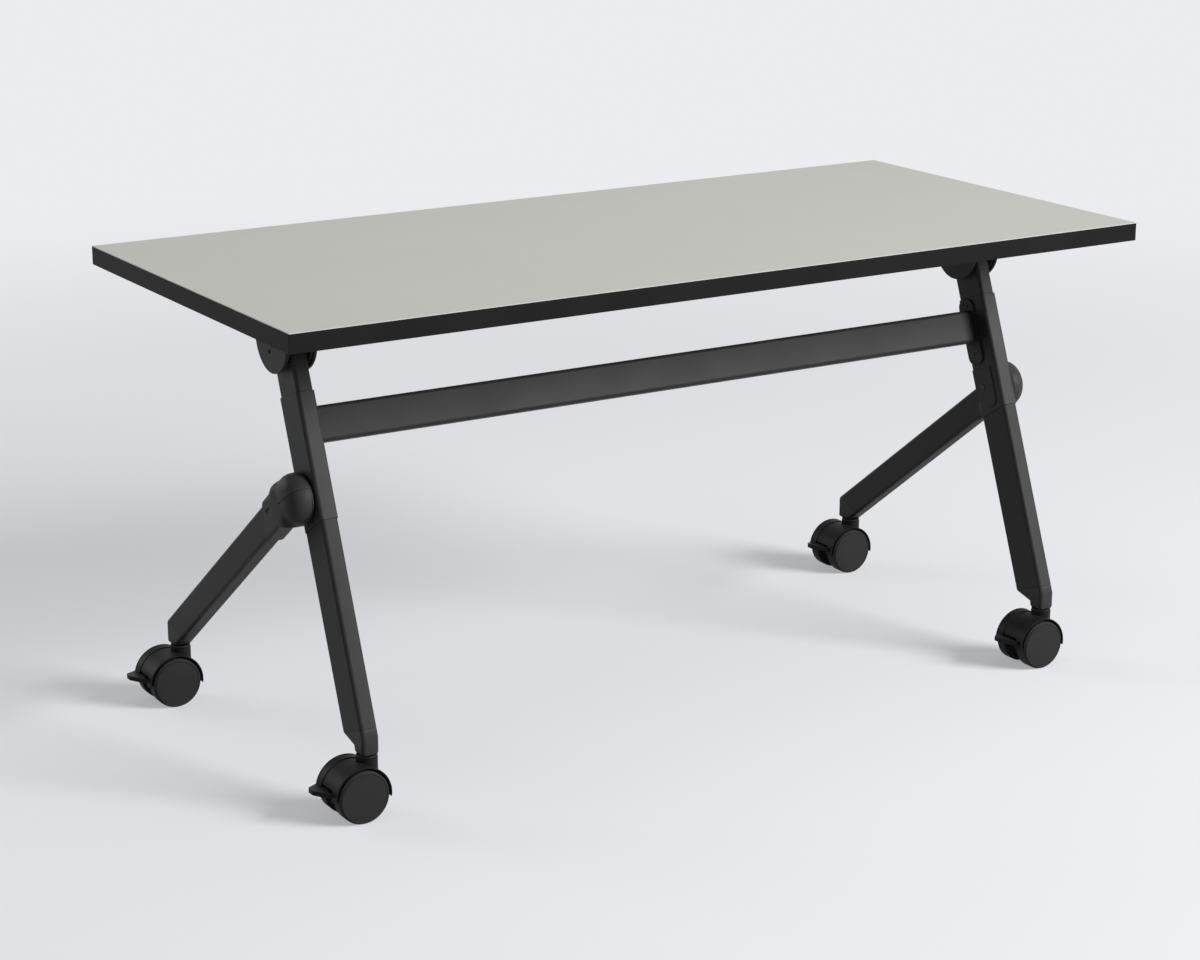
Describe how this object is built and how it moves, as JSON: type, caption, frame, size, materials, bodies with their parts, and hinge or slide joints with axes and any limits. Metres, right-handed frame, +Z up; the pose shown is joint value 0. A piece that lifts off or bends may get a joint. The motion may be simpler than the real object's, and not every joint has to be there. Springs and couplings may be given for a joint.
{
  "type": "flip top training table",
  "caption": "Training table on braked twin-wheel casters; the laminate top flips on tilt heads so tables nest.",
  "frame": {"origin": "on the floor under the middle of the table top", "axes": "+X along the table's length, -Y towards the side the main legs lean to, +Z up"},
  "size_m": [1.504, 0.7, 0.735],
  "materials": {
    "grey_laminate": "fine matt light warm grey laminate",
    "edge_band": "matt black edge band",
    "core_board": "raw particle board",
    "backer": "dark grey balancing sheet",
    "black_powder_coat": "fine black powder coat on steel tube",
    "black_casting": "black powder coat on castings",
    "blackened_steel": "blackened pins and bolts",
    "bare_steel": "plated steel",
    "black_plastic": "moulded black nylon",
    "wheel_tread": "black nylon wheel with a satin cap"
  },
  "bodies": {
    "frame": {"crossbar": "black_powder_coat", "lower_leg_left": "black_powder_coat", "rear_leg_left": "black_powder_coat", "bar_flange_left": "black_powder_coat", "neck_left": "black_casting", "upper_leg_left": "black_casting", "front_foot_left": "black_casting", "rear_knuckle_left": "black_casting", "rear_foot_left": "black_casting", "hinge_pin_left": "blackened_steel", "knuckle_bolt_left": "blackened_steel", "lower_leg_right": "black_powder_coat", "rear_leg_right": "black_powder_coat", "bar_flange_right": "black_powder_coat", "neck_right": "black_casting", "upper_leg_right": "black_casting", "front_foot_right": "black_casting", "rear_knuckle_right": "black_casting", "rear_foot_right": "black_casting", "hinge_pin_right": "blackened_steel", "knuckle_bolt_right": "blackened_steel", "caster_stem_front_left": "bare_steel", "caster_stem_front_right": "bare_steel", "caster_stem_rear_left": "bare_steel", "caster_stem_rear_right": "bare_steel"},
    "top": {"top_core": "core_board", "top_backer": "backer", "top_laminate": "grey_laminate", "edge_band_front": "edge_band", "edge_band_rear": "edge_band", "edge_band_left": "edge_band", "edge_band_right": "edge_band", "head_bracket_left": "black_casting", "latch_spring_left": "bare_steel", "head_bracket_right": "black_casting", "latch_spring_right": "bare_steel"},
    "latch_left": {"latch_lever_left": "black_plastic"},
    "latch_right": {"latch_lever_right": "black_plastic"},
    "caster_front_left": {"caster_hood_front_left": "black_plastic", "caster_axle_front_left": "bare_steel"},
    "wheel_1_front_left_body": {"wheel_1_front_left": "wheel_tread"},
    "wheel_2_front_left_body": {"wheel_2_front_left": "wheel_tread"},
    "brake_front_left": {"brake_lever_front_left": "black_plastic"},
    "caster_front_right": {"caster_hood_front_right": "black_plastic", "caster_axle_front_right": "bare_steel"},
    "wheel_1_front_right_body": {"wheel_1_front_right": "wheel_tread"},
    "wheel_2_front_right_body": {"wheel_2_front_right": "wheel_tread"},
    "brake_front_right": {"brake_lever_front_right": "black_plastic"},
    "caster_rear_left": {"caster_hood_rear_left": "black_plastic", "caster_axle_rear_left": "bare_steel"},
    "wheel_1_rear_left_body": {"wheel_1_rear_left": "wheel_tread"},
    "wheel_2_rear_left_body": {"wheel_2_rear_left": "wheel_tread"},
    "brake_rear_left": {"brake_lever_rear_left": "black_plastic"},
    "caster_rear_right": {"caster_hood_rear_right": "black_plastic", "caster_axle_rear_right": "bare_steel"},
    "wheel_1_rear_right_body": {"wheel_1_rear_right": "wheel_tread"},
    "wheel_2_rear_right_body": {"wheel_2_rear_right": "wheel_tread"},
    "brake_rear_right": {"brake_lever_rear_right": "black_plastic"}
  },
  "joints": [
    {"name": "top_flip", "type": "hinge", "parent": "frame", "child": "top", "pos_m": [0, -0.077, 0.662], "axis": [1, 0, 0], "range_deg": [0, 69]},
    {"name": "latch_left_pull", "type": "hinge", "parent": "top", "child": "latch_left", "pos_m": [-0.626, -0.037, 0.674], "axis": [1, 0, 0], "range_deg": [-14, 0]},
    {"name": "latch_right_pull", "type": "hinge", "parent": "top", "child": "latch_right", "pos_m": [0.626, -0.037, 0.674], "axis": [1, 0, 0], "range_deg": [-14, 0]},
    {"name": "caster_front_left_swivel", "type": "hinge", "parent": "frame", "child": "caster_front_left", "pos_m": [-0.626, -0.304, 0.075], "axis": [0, 0, 1], "continuous": true},
    {"name": "wheel_1_front_left_spin", "type": "hinge", "parent": "caster_front_left", "child": "wheel_1_front_left_body", "pos_m": [-0.648, -0.328, 0.04], "axis": [0, 1, 0], "continuous": true},
    {"name": "wheel_2_front_left_spin", "type": "hinge", "parent": "caster_front_left", "child": "wheel_2_front_left_body", "pos_m": [-0.648, -0.28, 0.04], "axis": [0, 1, 0], "continuous": true},
    {"name": "brake_front_left_press", "type": "hinge", "parent": "caster_front_left", "child": "brake_front_left", "pos_m": [-0.672, -0.304, 0.044], "axis": [0, -1, 0], "range_deg": [0, 20]},
    {"name": "caster_front_right_swivel", "type": "hinge", "parent": "frame", "child": "caster_front_right", "pos_m": [0.626, -0.304, 0.075], "axis": [0, 0, 1], "continuous": true},
    {"name": "wheel_1_front_right_spin", "type": "hinge", "parent": "caster_front_right", "child": "wheel_1_front_right_body", "pos_m": [0.604, -0.328, 0.04], "axis": [0, 1, 0], "continuous": true},
    {"name": "wheel_2_front_right_spin", "type": "hinge", "parent": "caster_front_right", "child": "wheel_2_front_right_body", "pos_m": [0.604, -0.28, 0.04], "axis": [0, 1, 0], "continuous": true},
    {"name": "brake_front_right_press", "type": "hinge", "parent": "caster_front_right", "child": "brake_front_right", "pos_m": [0.58, -0.304, 0.044], "axis": [0, -1, 0], "range_deg": [0, 20]},
    {"name": "caster_rear_left_swivel", "type": "hinge", "parent": "frame", "child": "caster_rear_left", "pos_m": [-0.663, 0.276, 0.075], "axis": [0, 0, 1], "continuous": true},
    {"name": "wheel_1_rear_left_spin", "type": "hinge", "parent": "caster_rear_left", "child": "wheel_1_rear_left_body", "pos_m": [-0.685, 0.252, 0.04], "axis": [0, 1, 0], "continuous": true},
    {"name": "wheel_2_rear_left_spin", "type": "hinge", "parent": "caster_rear_left", "child": "wheel_2_rear_left_body", "pos_m": [-0.685, 0.3, 0.04], "axis": [0, 1, 0], "continuous": true},
    {"name": "brake_rear_left_press", "type": "hinge", "parent": "caster_rear_left", "child": "brake_rear_left", "pos_m": [-0.709, 0.276, 0.044], "axis": [0, -1, 0], "range_deg": [0, 20]},
    {"name": "caster_rear_right_swivel", "type": "hinge", "parent": "frame", "child": "caster_rear_right", "pos_m": [0.663, 0.276, 0.075], "axis": [0, 0, 1], "continuous": true},
    {"name": "wheel_1_rear_right_spin", "type": "hinge", "parent": "caster_rear_right", "child": "wheel_1_rear_right_body", "pos_m": [0.641, 0.252, 0.04], "axis": [0, 1, 0], "continuous": true},
    {"name": "wheel_2_rear_right_spin", "type": "hinge", "parent": "caster_rear_right", "child": "wheel_2_rear_right_body", "pos_m": [0.641, 0.3, 0.04], "axis": [0, 1, 0], "continuous": true},
    {"name": "brake_rear_right_press", "type": "hinge", "parent": "caster_rear_right", "child": "brake_rear_right", "pos_m": [0.617, 0.276, 0.044], "axis": [0, -1, 0], "range_deg": [0, 20]}
  ]
}
